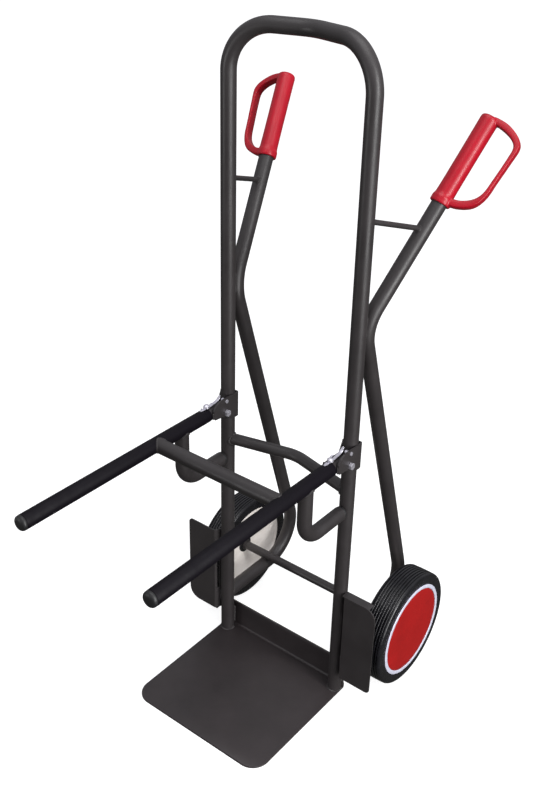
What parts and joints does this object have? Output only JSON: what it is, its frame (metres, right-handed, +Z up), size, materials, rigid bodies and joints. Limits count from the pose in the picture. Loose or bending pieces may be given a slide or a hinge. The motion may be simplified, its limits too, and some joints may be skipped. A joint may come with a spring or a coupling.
{
  "type": "hand truck",
  "caption": "Upright tube-frame hand truck with loop handles, a steel toe plate, solid ribbed wheels and a pair of height-adjustable fork tubes that slide on the uprights.",
  "frame": {"origin": "on the underside of the toe plate, at ground level, midway between the two uprights and on their centre plane", "axes": "+X across the truck from the left upright to the right one as seen from the load side, +Y to the back where the wheels and handles are, +Z up"},
  "size_m": [0.5964, 0.8362, 1.3767],
  "materials": {
    "frame": "satin powder coat",
    "sleeve": "satin",
    "zinc": "bright zinc plating",
    "grip": "gloss",
    "cap": "semi-gloss",
    "tyre": "ribbed rubber",
    "rim": "satin",
    "bush": "satin",
    "plug": "satin"
  },
  "bodies": {
    "frame": {"upright_left": "frame", "upright_right": "frame", "top_bar": "frame", "cross_brace": "frame", "toe_plate": "frame", "wheel_guard_left": "frame", "wheel_guard_right": "frame", "stay_left": "frame", "stay_right": "frame", "strut_left": "frame", "strut_right": "frame", "grip_left": "grip", "grip_right": "grip", "axle": "frame", "axle_collar_left": "frame", "axle_collar_right": "frame", "axle_clip_left": "zinc", "axle_clip_right": "zinc"},
    "wheel_left": {"tyre_left": "tyre", "rim_left": "rim", "bush_left": "bush", "hub_cap_left": "cap", "trim_ring_left": "zinc"},
    "wheel_right": {"tyre_right": "tyre", "rim_right": "rim", "bush_right": "bush", "hub_cap_right": "cap", "trim_ring_right": "zinc"},
    "carriage": {"fork_left": "frame", "fork_right": "frame", "fork_sleeve_left": "sleeve", "fork_sleeve_right": "sleeve", "fork_plug_left": "plug", "fork_plug_right": "plug", "fork_cross_tube": "frame", "prop_left": "frame", "prop_right": "frame", "prop_plug_left": "plug", "prop_plug_right": "plug", "bracket_left": "frame", "bracket_right": "frame", "bolt_left": "zinc", "bolt_right": "zinc", "nut_left": "zinc", "nut_right": "zinc", "pin_left": "frame", "pin_right": "frame", "latch_left": "zinc", "latch_right": "zinc", "rivet_left": "zinc", "rivet_right": "zinc"}
  },
  "joints": [
    {"name": "wheel_left_spin", "type": "hinge", "parent": "frame", "child": "wheel_left", "pos_m": [-0.2235, 0.1385, 0.13], "axis": [1, 0, 0], "continuous": true},
    {"name": "wheel_right_spin", "type": "hinge", "parent": "frame", "child": "wheel_right", "pos_m": [0.2235, 0.1385, 0.13], "axis": [1, 0, 0], "continuous": true},
    {"name": "carriage_slide", "type": "slide", "parent": "frame", "child": "carriage", "axis": [0, 0, 1], "range_m": [-0.038, 0.175]}
  ]
}
